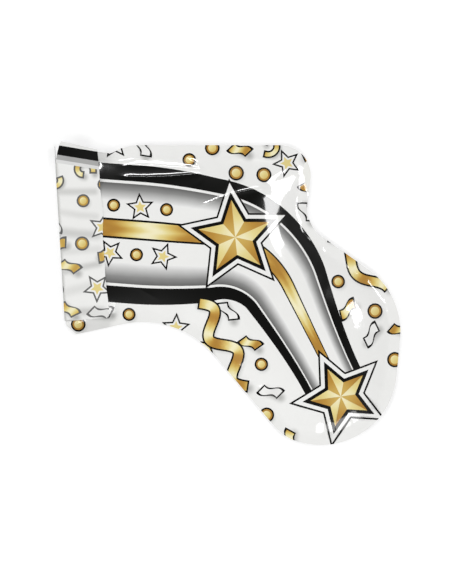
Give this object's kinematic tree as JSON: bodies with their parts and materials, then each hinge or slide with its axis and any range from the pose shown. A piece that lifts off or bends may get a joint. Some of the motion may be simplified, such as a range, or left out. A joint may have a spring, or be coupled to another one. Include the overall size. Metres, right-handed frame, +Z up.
{
  "type": "confetti popper",
  "caption": "Flat self-inflating confetti popper: a printed foil pouch in a toy hand gun outline, with a folded muzzle flap, a gas pack in the grip and loose confetti in the barrel.",
  "frame": {"origin": "on the surface that the pouch lies on, under the middle of its outline", "axes": "+X from the folded muzzle to the grip's back, +Y from the grip's butt to the barrel's top edge, +Z up out of the printed front film"},
  "size_m": [0.2496, 0.2167, 0.0113],
  "materials": {
    "printed_film": "white printed foil laminate with a clear gloss face",
    "seal_margin": "melted polyethylene sealant",
    "adhesive": "peelable pressure-sensitive adhesive",
    "clear_film": "clear polyethylene film",
    "powder": "fine white powder",
    "liquid": "clear water-based liquid",
    "gold_foil": "gold metallised film",
    "white_tissue": "white tissue paper"
  },
  "bodies": {
    "pouch": {"front_film": "printed_film", "rear_film": "printed_film", "edge_seal": "seal_margin", "gas_pack_upper_film": "clear_film", "gas_pack_lower_film": "clear_film", "bicarbonate_powder": "powder", "sachet_upper_film": "clear_film", "sachet_lower_film": "clear_film", "citric_solution": "liquid"},
    "end_panel": {"muzzle_end_panel": "printed_film"},
    "flap": {"closure_flap": "printed_film", "flap_adhesive": "adhesive"},
    "confetti_charge": {"confetti_gold_strips": "gold_foil", "confetti_white_discs": "white_tissue", "confetti_gold_stars": "gold_foil", "confetti_white_strips": "white_tissue", "confetti_gold_discs": "gold_foil"}
  },
  "joints": [
    {"name": "end_panel_crease", "type": "hinge", "parent": "pouch", "child": "end_panel", "pos_m": [-0.117, -0.0187, 0.00013], "axis": [0.0602, -0.9982, 0], "range_deg": [0, 90]},
    {"name": "flap_crease", "type": "hinge", "parent": "end_panel", "child": "flap", "pos_m": [-0.117, -0.0187, 0.0112], "axis": [0.0602, -0.9982, 0], "range_deg": [0, 90]},
    {"name": "confetti_shift", "type": "slide", "parent": "pouch", "child": "confetti_charge", "axis": [1, 0, 0], "range_m": [-0.03, 0]}
  ]
}
